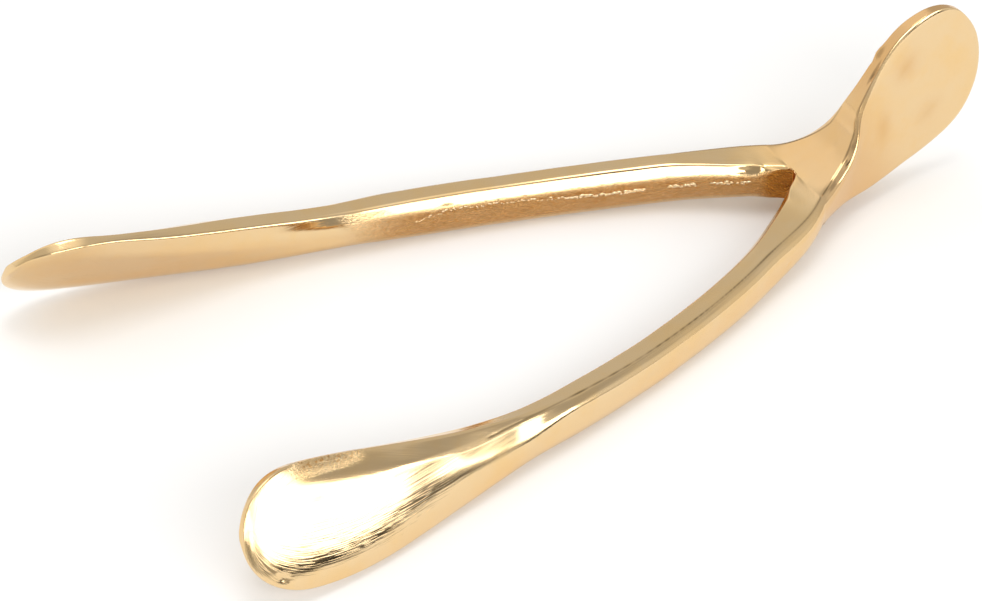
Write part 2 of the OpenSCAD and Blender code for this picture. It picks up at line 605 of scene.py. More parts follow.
class NodeBench:
    """Adds shader nodes to one material and links them, left to right."""

    def __init__(self, name: str) -> None:
        """Starts an empty material.

        Args:
            name: Name of the material.
        """
        self.material = bpy.data.materials.new(name)
        self.material.use_nodes = True
        self.nodes = self.material.node_tree.nodes
        self.links = self.material.node_tree.links
        self.nodes.clear()
        self.column = 0

    def add(self, kind: str, **settings) -> bpy.types.Node:
        """Adds a node.

        Args:
            kind: Blender's node type.
            **settings: Attributes of the node; inputs are set through feed.

        Returns:
            The new node.
        """
        node = self.nodes.new(kind)
        node.location = (self.column * 190, 0)
        self.column += 1
        for key, value in settings.items():
            setattr(node, key, value)
        return node

    def feed(self, node: bpy.types.Node, **inputs) -> bpy.types.Node:
        """Sets or links a node's inputs.

        Args:
            node: The node to feed.
            **inputs: Values or sockets by the input's name, with _ for a space, or i and its number.

        Returns:
            The same node.
        """
        for key, value in inputs.items():
            numbered = key[0] == "i" and key[1:].isdigit()
            socket = node.inputs[int(key[1:]) if numbered else key.replace("_", " ")]
            if isinstance(value, bpy.types.NodeSocket):
                self.links.new(value, socket)
            else:
                socket.default_value = value
        return node

    def ramp(self, source: bpy.types.NodeSocket, low: float, high: float) -> bpy.types.NodeSocket:
        """Maps source from low..high to 0..1, clamped and smooth."""
        node = self.add("ShaderNodeMapRange", interpolation_type="SMOOTHSTEP")
        self.feed(node, Value=source, From_Min=low, From_Max=high)
        return node.outputs["Result"]

    def noise(
        self, vector: bpy.types.NodeSocket, scale: float, detail: float = 3.0, rough: float = 0.5
    ) -> bpy.types.NodeSocket:
        """A noise value.

        Args:
            vector: The coordinate that it follows.
            scale: Size of the pattern, per unit of that coordinate.
            detail: How many finer layers it has.
            rough: How strong the finer layers are.

        Returns:
            The value's socket.
        """
        node = self.add("ShaderNodeTexNoise")
        self.feed(node, Vector=vector, Scale=scale, Detail=detail, Roughness=rough)
        return node.outputs[0]

    def stretch(self, vector: bpy.types.NodeSocket, scale: Point) -> bpy.types.NodeSocket:
        """Scales a coordinate by a different amount on each axis."""
        node = self.add("ShaderNodeMapping")
        self.feed(node, Vector=vector, Scale=scale)
        return node.outputs[0]

    def math(self, operation: str, a: Input, b: Input = 0.0) -> bpy.types.NodeSocket:
        """One arithmetic step on two values or sockets."""
        node = self.add("ShaderNodeMath", operation=operation)
        self.feed(node, i0=a, i1=b)
        return node.outputs[0]

    def blend(self, share: Input, a: Input, b: Input) -> bpy.types.NodeSocket:
        """Mixes two colours or sockets.

        Args:
            share: How much of b there is, from 0 to 1.
            a: The colour at share 0.
            b: The colour at share 1.

        Returns:
            The mixed colour's socket.
        """
        node = self.add("ShaderNodeMix", data_type="RGBA")
        for index, value in ((0, share), (6, a), (7, b)):
            if isinstance(value, bpy.types.NodeSocket):
                self.links.new(value, node.inputs[index])
            elif index == 0:
                node.inputs[0].default_value = value
            else:
                node.inputs[index].default_value = (*value, 1.0)
        return node.outputs[2]


@dataclass(frozen=True)
class PolishedBrass:
    """Hand-polished cast brass: mirror in places, hazy in others, darker on its raw walls, stains and pits,
    with painted shade in the crotch pocket, on the head's upper edge and in a dark line along the arms' top
    edges.
    """

    pale: Colour = (0.80, 0.59, 0.335)
    warm: Colour = (0.82, 0.545, 0.235)
    # darker metal of raw walls, stains and pits; also the colour of the painted shade in the crotch pocket
    # and on the head's upper edge
    dull_metal_and_shade: Colour = (0.58, 0.25, 0.045)
    # painted shade: colour of the dark line along the arms' top edges
    painted_edge_shade: Colour = (0.13, 0.085, 0.03)
    gloss: float = 0.085
    haze: float = 0.19
    rough_cast: float = 0.28

    def material(self, name: str) -> bpy.types.Material:
        """Builds the finish.

        Args:
            name: Name of the material.

        Returns:
            The new material.
        """
        bench = NodeBench(name)
        place = bench.add("ShaderNodeTexCoord").outputs["Object"]
        skin = bench.add("ShaderNodeAttribute", attribute_name="skin").outputs["Vector"]
        wear_and_shade = bench.add("ShaderNodeAttribute", attribute_name="wear_and_shade").outputs["Vector"]
        split = bench.add("ShaderNodeSeparateXYZ")
        bench.feed(split, Vector=wear_and_shade)
        dull_metal_and_shade, cast, scuff = split.outputs[0], split.outputs[1], split.outputs[2]
        crease_and_shade = bench.add("ShaderNodeAttribute", attribute_name="crease_and_shade").outputs["Fac"]

        clouds = bench.ramp(bench.noise(place, 85.0, 4.0, 0.6), 0.38, 0.68)
        colour = bench.blend(bench.math("MULTIPLY", clouds, 0.55), self.pale, self.warm)
        stain = bench.ramp(bench.noise(place, 260.0, 3.0, 0.55), 0.56, 0.72)
        colour = bench.blend(bench.math("MULTIPLY", stain, 0.22), colour, self.warm)
        # raw walls and stains darken here, and so does the painted shade in the crotch pocket and on the
        # head's upper edge
        colour = bench.blend(dull_metal_and_shade, colour, self.dull_metal_and_shade)
        # painted shade: a dark line along the crisp top edges of the arms
        colour = bench.blend(crease_and_shade, colour, self.painted_edge_shade)
        flecks = bench.ramp(bench.noise(place, 1900.0, 2.0, 0.6), 0.5, 0.66)
        fleck_share = bench.math("MULTIPLY", cast, bench.math("MULTIPLY", flecks, 0.8))
        colour = bench.blend(fleck_share, colour, self.dull_metal_and_shade)

        strokes = bench.noise(bench.stretch(skin, (0.04, 1.0, 1.0)), 1.3, 4.0, 0.65)
        fine = bench.noise(bench.stretch(skin, (0.035, 1.0, 1.0)), 3.6, 2.0, 0.55)
        grains = bench.noise(place, 2600.0, 3.0, 0.7)
        calm = bench.math("SUBTRACT", 1.0, bench.math("MULTIPLY", scuff, 0.8))
        hazed = bench.math("MULTIPLY", calm, self.haze - self.gloss)
        rough = bench.math("MULTIPLY", bench.ramp(strokes, 0.4, 0.75), hazed)
        rough = bench.math("ADD", rough, self.gloss)
        rough = bench.math("ADD", rough, bench.math("MULTIPLY", clouds, 0.05))
        rough = bench.math("ADD", rough, bench.math("MULTIPLY", cast, self.rough_cast - self.gloss))

        polish = bench.add("ShaderNodeBump")
        bench.feed(polish, Height=fine, Strength=0.10, Distance=0.00006)
        scratches = bench.add("ShaderNodeBump")
        depth = bench.math("MULTIPLY", scuff, bench.ramp(fine, 0.45, 0.6))
        bench.feed(scratches, Height=depth, Strength=0.3, Distance=0.00003, Normal=polish.outputs[0])
        pits = bench.add("ShaderNodeBump")
        pitted = bench.math("MULTIPLY", cast, bench.ramp(grains, 0.35, 0.7))
        bench.feed(pits, Height=pitted, Strength=1.0, Distance=0.0004, Normal=scratches.outputs[0])

        shader = bench.add("ShaderNodeBsdfPrincipled")
        bench.feed(shader, Base_Color=colour, Metallic=1.0, Roughness=rough, Normal=pits.outputs[0])
        out = bench.add("ShaderNodeOutputMaterial")
        bench.feed(out, Surface=shader.outputs[0])
        return bench.material


@dataclass(frozen=True)
class RawFlash:
    """Unpolished metal that seeped into the mould's joint."""

    colour: Colour = (0.80, 0.58, 0.31)
    glint: Colour = (0.92, 0.76, 0.52)
    roughness: float = 0.25

    def material(self, name: str) -> bpy.types.Material:
        """Builds the finish.

        Args:
            name: Name of the material.

        Returns:
            The new material.
        """
        bench = NodeBench(name)
        place = bench.add("ShaderNodeTexCoord").outputs["Object"]
        grain = bench.noise(place, 3200.0, 3.0, 0.6)
        colour = bench.blend(bench.ramp(grain, 0.35, 0.7), self.colour, self.glint)
        bump = bench.add("ShaderNodeBump")
        bench.feed(bump, Height=grain, Strength=0.6, Distance=0.0001)
        shader = bench.add("ShaderNodeBsdfPrincipled")
        bench.feed(shader, Base_Color=colour, Metallic=1.0, Roughness=self.roughness, Normal=bump.outputs[0])
        bench.feed(bench.add("ShaderNodeOutputMaterial"), Surface=shader.outputs[0])
        return bench.material


@dataclass(frozen=True)
class PaleSweep:
    """Matt white surface under the ornament."""

    colour: Colour = (0.92, 0.92, 0.92)
    roughness: float = 0.85

    def material(self, name: str) -> bpy.types.Material:
        """Builds the finish.

        Args:
            name: Name of the material.

        Returns:
            The new material.
        """
        bench = NodeBench(name)
        shader = bench.add("ShaderNodeBsdfPrincipled")
        bench.feed(shader, Base_Color=(*self.colour, 1.0), Roughness=self.roughness)
        bench.feed(bench.add("ShaderNodeOutputMaterial"), Surface=shader.outputs[0])
        return bench.material


# ---------------------------------------------------------------- the casting


@dataclass(frozen=True)
class WearAndShadeMap:
    """Where the casting is raw, stained, rough or scuffed, and where shade is painted on it.

    Runs are places along X, in millimetres from the crotch. Tints go from 0 to 1.
    """

    inside_until: float = 1.5
    raw_facing: Span = (0.2, 0.4)
    raw_upright: Span = (0.84, 0.95)
    raw_run: Span = (-66.0, -52.0)
    raw_tint: float = 0.62
    raw_cast: float = 0.55
    crotch_x: float = -0.5
    crotch_reach: float = 3.4
    # painted shade in the crotch pocket
    crotch_shade: float = 0.95
    web_run: Span = (-4.0, 3.0)
    web_end: Span = (19.0, 9.0)
    web_tint: float = 0.26
    # painted shade on the head's upward-facing edge
    strip_rise: Span = (0.1, 0.5)
    strip_run: Span = (9.0, 14.0)
    strip_shade: float = 0.42
    patch_x: float = -99.0
    patch_z: float = 16.2
    patch_slope: float = -0.22
    patch_start: Span = (-105.0, -101.5)
    patch_end: Span = (-91.0, -99.0)
    patch_edge: Span = (1.9, 0.5)
    scuff_z: float = 6.2
    scuff_slope: float = -0.12
    scuff_reach: float = 2.4
    scuff_run: Span = (-72.0, -92.0)

    def raw(self, co: np.ndarray, no: np.ndarray) -> np.ndarray:
        """The unpolished walls inside the arms.

        Args:
            co: Rows of X, Y, Z in millimetres from the crotch.
            no: Unit normals there.

        Returns:
            The share of raw wall at each point.
        """
        facing_in = np.clip(-no[:, 1] * np.sign(co[:, 1]), 0, 1) * (co[:, 0] < self.inside_until)
        upright = np.hypot(no[:, 0], no[:, 1])
        wall = ease(*self.raw_facing, facing_in) * ease(*self.raw_upright, upright)
        return wall * ease(*self.raw_run, co[:, 0])

    def dull_metal_and_shade(self, co: np.ndarray, no: np.ndarray, raw: np.ndarray, stains: np.ndarray) -> np.ndarray:
        """How far the brass is darkened: raw walls and stains, painted shade in the crotch pocket and on the
        head's upper edge, and a darker web near the crotch.

        Args:
            co: Rows of X, Y, Z in millimetres from the crotch.
            no: Unit normals there.
            raw: The share of raw wall.
            stains: The share of stain.

        Returns:
            The darkening at each point, from 0 to 1.
        """
        x, y, z = co.T
        # painted shade: the crotch pocket's upright walls are darkened on top of the raw metal there
        crotch = np.exp(-((x - self.crotch_x) ** 2 + (y * 1.1) ** 2) / self.crotch_reach**2)
        crotch = crotch * (no[:, 0] < 0.2) * np.clip(1.2 - np.abs(no[:, 2]) * 1.6, 0, 1)
        # the web is darker from the crotch up to the head's lower part
        web = ease(*self.web_run, x) * ease(*self.web_end, x + 0.3 * z - 3.0)
        # painted shade: faces of the head that turn upwards are darkened
        strip = ease(*self.strip_rise, no[:, 2]) * ease(*self.strip_run, x) * (np.abs(no[:, 1]) < 0.5)
        tints = self.strip_shade * strip + self.crotch_shade * crotch
        tints = tints + self.raw_tint * raw + self.web_tint * web
        return np.clip(stains + tints, 0, 1)

    def cast(self, co: np.ndarray, raw: np.ndarray) -> np.ndarray:
        """Where the rough face of the mould still shows: the raw walls and a patch on one paddle.

        Args:
            co: Rows of X, Y, Z in millimetres from the crotch.
            raw: The share of raw wall.

        Returns:
            The roughness at each point, from 0 to 1.
        """
        x, y, z = co.T
        off_patch = np.abs(z - self.patch_z - (x - self.patch_x) * self.patch_slope)
        along = ease(*self.patch_start, x) * ease(*self.patch_end, x)
        patch = along * ease(*self.patch_edge, off_patch) * (y < 0)
        return np.clip(patch + self.raw_cast * raw, 0, 1)

    def scuff(self, co: np.ndarray) -> np.ndarray:
        """The scratched band low on the paddles.

        Args:
            co: Rows of X, Y, Z in millimetres from the crotch.

        Returns:
            The strength of the scratches at each point, from 0 to 1.
        """
        x, _, z = co.T
        off_band = z - (self.scuff_z + (x - self.patch_x) * self.scuff_slope)
        return np.exp(-((off_band / self.scuff_reach) ** 2)) * ease(*self.scuff_run, x)


@dataclass
class BrassCasting:
    """The whole casting: two arms with paddles, the web and the head, as one skin."""

    arm: ArmForm = field(default_factory=ArmForm)
    head: HeadForm = field(default_factory=HeadForm)
    ring: SectionRing = field(default_factory=SectionRing)
    finish: PolishedBrass = field(default_factory=PolishedBrass)
    wear_and_shade: WearAndShadeMap = field(default_factory=WearAndShadeMap)
    arm_stations: tuple[int, int] = (250, 26)
    head_stations: tuple[int, int] = (80, 30)
    pocket: CrotchPocket = field(default_factory=CrotchPocket)
    clearance: float = 0.03
    crease_width: float = 0.15
    crease_depth: float = 0.05
    seat: Vector = field(default_factory=Vector)
    crotch_reach: float = 5.4
    crotch_passes: int = 30
    top_passes: int = 220
    ripples: tuple[Ripple, ...] = (
        Ripple(wavelength=17.0, depth=0.12, seed=3),
        Ripple(wavelength=5.5, depth=0.045, seed=8),
    )
    inner_ripple: Ripple = Ripple(wavelength=2.6, depth=0.13, seed=21)
    ledges: tuple[Ledge, ...] = (
        Ledge("broken shoulder", (-1.9, 1.9, 8.0), (-0.75, 0.66, 0.0), (1.9, 0.75, 2.2), 0.3, 0.3),
    )
    dents: tuple[Dent, ...] = (
        Dent("web notch", (6.75, -1.3, 12.1), 1.5, 0.75, 0.8, (0.7, 0.0, 0.7)),
        Dent("shank pit", (-9.9, -14.0, 4.5), 0.5, 0.4, 0.14),
        Dent("rim slit", (13.5, -0.7, 23.2), 3.0, 0.32, 0.4, (0.45, 0.0, 0.89)),
        Dent("gate stub", (14.6, 0.9, 25.0), 1.5, 1.0, -0.35, (0.6, 0.0, 0.8)),
        Dent("gate stub end", (13.6, 0.9, 23.6), 0.7, 0.8, 0.25, (0.6, 0.0, 0.8)),
        Dent("rim nick", (-110.6, -38.0, 5.3), 0.8, 0.7, 0.35),
        Dent("shoulder hollow", (-5.6, 4.6, 7.6), 1.6, 1.1, 0.35, (-0.75, 0.66, 0.0)),
        Dent("shoulder pit", (-2.6, 2.2, 7.2), 0.5, 0.35, 0.25),
        Dent("seam blob", (-50.2, 22.0, 5.0), 2.6, 0.8, -0.22, (-1.0, 0.3, 0.0)),
        Dent("seam hollow", (-47.5, 21.2, 5.9), 1.6, 0.6, 0.18, (-1.0, 0.3, 0.0)),
    )

    stains: tuple[Dent, ...] = (
        Dent("thumb stain", (18.7, -1.5, 22.0), 3.2, 2.4, 0.34, (0.6, 0.0, 0.8)),
        Dent("low stain", (14.8, -1.5, 12.4), 3.6, 1.8, 0.32, (0.1, 0.0, 1.0)),
        Dent("rim stain", (23.5, -1.5, 12.2), 3.4, 2.0, 0.2, (0.7, 0.0, 0.7)),
    )

    def half_skin(self) -> tuple[np.ndarray, np.ndarray, list[list[int]]]:
        """Builds the right half: paddle, arm, then its half of the web and head.

        Returns:
            Points in millimetres, skin coordinates, and faces.
        """
        t_arm = self.arm.stations(*self.arm_stations)
        t_head = self.head.stations(*self.head_stations)
        arm = self.arm.rings(t_arm, self.ring)[::-1]
        head = self.head.rings(t_head, self.ring, self.arm)
        rings = np.concatenate([arm, head])
        count = self.ring.count
        root = len(arm) - 1
        skin = self.skin_coordinates(rings)

        first = self.ring.first_index(Corner.TOP_IN)
        last = self.ring.last_index(Corner.BOTTOM_IN)
        faces: list[list[int]] = []
        for j in range(len(rings) - 1):
            for i in range(count):
                n = (i + 1) % count
                if j >= root and first <= i < last:
                    continue
                faces.append([j * count + i, (j + 1) * count + i, (j + 1) * count + n, j * count + n])
        points = rings.reshape(-1, 3)
        tip = points[:count].mean(0)
        end = rings[-1].mean(0) * np.array([1.0, 0.0, 1.0])
        points = np.vstack([points, tip, end])
        skin = np.vstack([skin.reshape(-1, 3), skin[0, 0], skin[-1, 0]])
        base = (len(rings) - 1) * count
        for i in range(count):
            n = (i + 1) % count
            faces.append([i, n, len(points) - 2])
            if not first <= i < last:
                faces.append([base + n, base + i, len(points) - 1])
        return points, skin, faces

    def skin_coordinates(self, rings: np.ndarray) -> np.ndarray:
        """Distance along the casting and round it, so that polishing marks follow the form.

        Args:
            rings: Stations x points x 3.

        Returns:
            Stations x points x 3: along, round, 0, in millimetres.
        """
        centre = rings.mean(1)
        along = np.concatenate([[0.0], np.cumsum(np.linalg.norm(np.diff(centre, axis=0), axis=1))])
        step = np.linalg.norm(np.diff(rings, axis=1, append=rings[:, :1]), axis=2)
        around = np.concatenate([np.zeros((len(rings), 1)), np.cumsum(step, axis=1)[:, :-1]], axis=1)
        middle = self.ring.first_index(Corner.FOOT_IN)
        around = around - around[:, middle : middle + 1]
        return np.stack([np.repeat(along[:, None], rings.shape[1], 1), around, np.zeros_like(around)], -1)

    def whole_mesh(self) -> bpy.types.Mesh:
        """Mirrors the half skin, welds it along the mirror plane, and closes it.

        Returns:
            A closed mesh in millimetres, with the skin attribute.
        """
        points, skin, faces = self.half_skin()
        size = len(points)
        on_plane = np.abs(points[:, 1]) < 1e-7
        points[on_plane, 1] = 0.0
        twin = np.where(on_plane, np.arange(size), np.arange(size) + size)
        mirrored = points * np.array([1.0, -1.0, 1.0])
        both = np.vstack([points, mirrored])
        coordinates = np.vstack([skin, skin + np.array([0.0, 0.0, 400.0])])
        other = [[int(twin[i]) for i in reversed(f)] for f in faces]
        mesh = bpy.data.meshes.new("casting")
        mesh.from_pydata(both.tolist(), [], faces + other)
        layer = mesh.attributes.new("skin", "FLOAT_VECTOR", "POINT")
        layer.data.foreach_set("vector", coordinates.astype(np.float32).ravel())
        work = bmesh.new()
        work.from_mesh(mesh)
        bmesh.ops.remove_doubles(work, verts=work.verts, dist=2e-4)
        bmesh.ops.dissolve_degenerate(work, edges=work.edges, dist=1e-5)
        loose = [v for v in work.verts if not v.link_faces]
        bmesh.ops.delete(work, geom=loose, context="VERTS")
        bmesh.ops.recalc_face_normals(work, faces=work.faces)
        bmesh.ops.triangulate(work, faces=[f for f in work.faces if len(f.verts) > 4])
        open_edges = sum(1 for e in work.edges if len(e.link_faces) != 2)
        LOG.info("casting skin: %d faces, %d open edges", len(work.faces), open_edges)
        if work.calc_volume(signed=True) < 0:
            bmesh.ops.reverse_faces(work, faces=work.faces)
        work.to_mesh(mesh)
        work.free()
        return mesh

    @staticmethod
    def places(mesh: bpy.types.Mesh) -> np.ndarray:
        """Vertex places as rows."""
        co = np.zeros(len(mesh.vertices) * 3)
        mesh.vertices.foreach_get("co", co)
        return co.reshape(-1, 3)

    @staticmethod
    def normals(mesh: bpy.types.Mesh) -> np.ndarray:
        """Vertex normals as rows."""
        mesh.update()
        no = np.zeros(len(mesh.vertices) * 3, np.float32)
        mesh.vertex_normals.foreach_get("vector", no)
        return no.reshape(-1, 3).astype(float)

    def round_crotch(self, mesh: bpy.types.Mesh) -> None:
        """Rounds the sharp crease where the arms meet, as molten metal would leave it.

        Args:
            mesh: The casting in millimetres from the crotch, changed in place.
        """
        co = self.places(mesh)
        edges = np.zeros(len(mesh.edges) * 2, np.int64)
        mesh.edges.foreach_get("vertices", edges)
        edges = edges.reshape(-1, 2)
        a = np.concatenate([edges[:, 0], edges[:, 1]])
        b = np.concatenate([edges[:, 1], edges[:, 0]])
        degree = np.bincount(a, minlength=len(co)).astype(float)
        reach = np.hypot(co[:, 0] * 0.8, co[:, 1] * 1.2)
        weight = (1 - ease(self.crotch_reach * 0.45, self.crotch_reach, reach))[:, None]
        weight *= co[:, :1] < 3.5
        for _ in range(self.crotch_passes):
            total = np.stack([np.bincount(a, weights=co[b, k], minlength=len(co)) for k in range(3)], 1)
            co += weight * 0.6 * (total / degree[:, None] - co)
        # the tops of the arms run into the web without a fold
        level = ease(0.93, 0.985, self.normals(mesh)[:, 2])
        level = level * ease(-14.0, -8.0, co[:, 0]) * ease(16.0, 9.0, co[:, 0])
        for _ in range(self.top_passes):
            total = np.bincount(a, weights=co[b, 2], minlength=len(co))
            co[:, 2] += level * 0.7 * (total / degree - co[:, 2])
        mesh.vertices.foreach_set("co", co.ravel())
        mesh.update()

    def crease_and_shade(self, points: np.ndarray) -> np.ndarray:
        """How near each point lies to the crease along the top edge of an arm: a fine groove, with a dark
        line of shade painted along it.

        Args:
            points: Rows of X, Y, Z in millimetres from the crotch.

        Returns:
            Up to 1 on the crease, falling to 0 within half a millimetre.
        """
        t = np.linspace(0.0, 0.62, 300)
        middle = self.ring.first_index(Corner.TOP_OUT) + self.ring.corner_points // 2
        web = self.head.rings(np.linspace(0.02, 0.42, 90), self.ring, self.arm)[:, middle]
        line = np.concatenate([web[::-1], self.arm.rings(t, self.ring)[:, middle]])
        share = np.zeros(len(points))
        along = (points[:, 0] > line[:, 0].min() - 1) & (points[:, 0] < line[:, 0].max() + 1)
        near = np.flatnonzero(along & (points[:, 2] > 5))
        folded = points[near] * np.array([1.0, -1.0, 1.0]) ** (points[near, 1:2] > 0)
        apart = np.full(len(near), 1e9)
        for place in line:
            apart = np.minimum(apart, ((folded - place) ** 2).sum(1))
        x = points[near, 0]
        uneven = 0.72 + 0.28 * np.sin(x * 0.55) * np.sin(x * 0.21 + 1.0)
        fade = ease(13.0, 8.0, x) * ease(-84.0, -70.0, x) * uneven
        share[near] = np.exp(-apart / self.crease_width**2) * fade
        return share

    def add_wear_and_shade(self, mesh: bpy.types.Mesh) -> None:
        """Sinks the ripples and dents into the skin, and records where it is dull or stained and where shade
        is painted on it.

        Args:
            mesh: The casting in millimetres from the crotch, changed in place.
        """
        co = self.places(mesh)
        no = self.normals(mesh)
        raw = self.wear_and_shade.raw(co, no)
        sink = sum(r.at(co) for r in self.ripples) + raw * self.inner_ripple.at(co)
        sink = sink * np.clip((co[:, 0] + 100.0) / 20.0, 0.35, 1.0)
        for dent in self.dents:
            sink = sink + dent.at(co)
        drop = sum(ledge.at(co) for ledge in self.ledges)
        crease_and_shade = self.crease_and_shade(co)
        sink = sink + self.crease_depth * crease_and_shade
        co = co - no * sink[:, None]
        co[:, 2] -= drop
        mesh.vertices.foreach_set("co", co.ravel())
        mesh.update()

        stains = sum(s.at(co) for s in self.stains) * (no[:, 1] < -0.5)
        dull_metal_and_shade = self.wear_and_shade.dull_metal_and_shade(co, no, raw, stains)
        wear_and_shade = np.stack([dull_metal_and_shade, self.wear_and_shade.cast(co, raw), self.wear_and_shade.scuff(co)], 1)
        layer = mesh.attributes.new("wear_and_shade", "FLOAT_VECTOR", "POINT")
        layer.data.foreach_set("vector", wear_and_shade.astype(np.float32).ravel())
        # the crease's share also paints a dark line of shade in the material
        layer = mesh.attributes.new("crease_and_shade", "FLOAT", "POINT")
        layer.data.foreach_set("value", (0.95 * crease_and_shade).astype(np.float32))

    def build(self, crotch_x: float) -> bpy.types.Object:
        """Builds and dresses the casting, and keeps its seat.

        Args:
            crotch_x: Where the crotch plane lies along X, in metres.

        Returns:
            The finished piece.
        """
        mesh = self.whole_mesh()
        mesh.vertices.foreach_set("co", self.pocket.open(self.places(mesh)).ravel())
        self.round_crotch(mesh)
        self.add_wear_and_shade(mesh)
        floor = self.places(mesh)[:, 2].min() - self.clearance
        self.seat = Vector((crotch_x, 0.0, -floor * MM))
        mesh.transform(Matrix.Translation(self.seat) @ Matrix.Scale(MM, 4))
        mesh.shade_smooth()
        mesh.materials.append(self.finish.material("polished_brass"))
        piece = bpy.data.objects.new("brass_casting", mesh)
        bpy.context.scene.collection.objects.link(piece)
        return piece


class SeamTree:
    """Geometry Nodes that strew crumbs of metal along an edge path."""

    jitter_low: Point = (-1.0, -0.25, -1.0)
    jitter_high: Point = (1.0, 0.25, 1.0)
    smallest: Point = (0.45, 0.45, 0.7)
    largest: Point = (1.1, 1.1, 2.2)
    clumps_per_metre: float = 240.0
    bare_below: float = 0.43

    def __init__(self, name: str) -> None:
        """Starts an empty tree called name, with a geometry input and output."""
        self.tree = bpy.data.node_groups.new(name, "GeometryNodeTree")
        self.tree.interface.new_socket("Geometry", in_out="INPUT", socket_type="NodeSocketGeometry")
        self.tree.interface.new_socket("Geometry", in_out="OUTPUT", socket_type="NodeSocketGeometry")
        self.sockets: dict[str, str] = {}

    def size(self, name: str, kind: str = "NodeSocketFloat") -> None:
        """Adds a named input and remembers its identifier."""
        self.sockets[name] = self.tree.interface.new_socket(name, in_out="INPUT", socket_type=kind).identifier

    def node(self, kind: str, **settings) -> bpy.types.Node:
        """Adds a node with the given attributes and returns it."""
        node = self.tree.nodes.new(kind)
        for key, value in settings.items():
            setattr(node, key, value)
        return node

    def link(self, source: bpy.types.NodeSocket, target: bpy.types.NodeSocket) -> None:
        """Links two sockets."""
        self.tree.links.new(source, target)

    def build(self, material: bpy.types.Material) -> None:
        """Lays out the whole tree.

        Args:
            material: What the crumbs are made of.
        """
        self.size("Spacing")
        self.size("Crumb size")
        self.size("Scatter")
        self.size("Seed", "NodeSocketInt")
        start = self.node("NodeGroupInput")
        curve = self.node("GeometryNodeMeshToCurve")
        points = self.node("GeometryNodeCurveToPoints", mode="LENGTH")
        self.link(start.outputs["Geometry"], curve.inputs["Mesh"])
        self.link(curve.outputs["Curve"], points.inputs["Curve"])
        self.link(start.outputs["Spacing"], points.inputs["Length"])

        jitter = self.node("FunctionNodeRandomValue", data_type="FLOAT_VECTOR")
        jitter.inputs[0].default_value = self.jitter_low
        jitter.inputs[1].default_value = self.jitter_high
        self.link(start.outputs["Seed"], jitter.inputs["Seed"])
        spread = self.node("ShaderNodeVectorMath", operation="SCALE")
        self.link(jitter.outputs["Value"], spread.inputs[0])
        self.link(start.outputs["Scatter"], spread.inputs["Scale"])
        moved = self.node("GeometryNodeSetPosition")
        self.link(points.outputs["Points"], moved.inputs["Geometry"])
        self.link(spread.outputs[0], moved.inputs["Offset"])

        place = self.node("GeometryNodeInputPosition")
        clumps = self.node("ShaderNodeTexNoise")
        clumps.inputs["Scale"].default_value = self.clumps_per_metre
        self.link(place.outputs[0], clumps.inputs["Vector"])
        keep = self.node("FunctionNodeCompare", data_type="FLOAT", operation="GREATER_THAN")
        keep.inputs["B"].default_value = self.bare_below
        self.link(clumps.outputs[0], keep.inputs["A"])

        crumb = self.node("GeometryNodeMeshIcoSphere")
        crumb.inputs["Subdivisions"].default_value = 1
        self.link(start.outputs["Crumb size"], crumb.inputs["Radius"])
        shape = self.node("FunctionNodeRandomValue", data_type="FLOAT_VECTOR")
        shape.inputs[0].default_value = self.smallest
        shape.inputs[1].default_value = self.largest
        self.link(start.outputs["Seed"], shape.inputs["Seed"])
        strewn = self.node("GeometryNodeInstanceOnPoints")
        self.link(moved.outputs["Geometry"], strewn.inputs["Points"])
        self.link(keep.outputs["Result"], strewn.inputs["Selection"])
        self.link(crumb.outputs["Mesh"], strewn.inputs["Instance"])
        self.link(points.outputs["Rotation"], strewn.inputs["Rotation"])
        self.link(shape.outputs["Value"], strewn.inputs["Scale"])

        real = self.node("GeometryNodeRealizeInstances")
        smooth = self.node("GeometryNodeSetShadeSmooth")
        dress = self.node("GeometryNodeSetMaterial")
        dress.inputs["Material"].default_value = material
        end = self.node("NodeGroupOutput")
        self.link(strewn.outputs["Instances"], real.inputs["Geometry"])
        self.link(real.outputs["Geometry"], smooth.inputs["Geometry"])
        self.link(smooth.outputs["Geometry"], dress.inputs["Geometry"])
        self.link(dress.outputs["Geometry"], end.inputs["Geometry"])


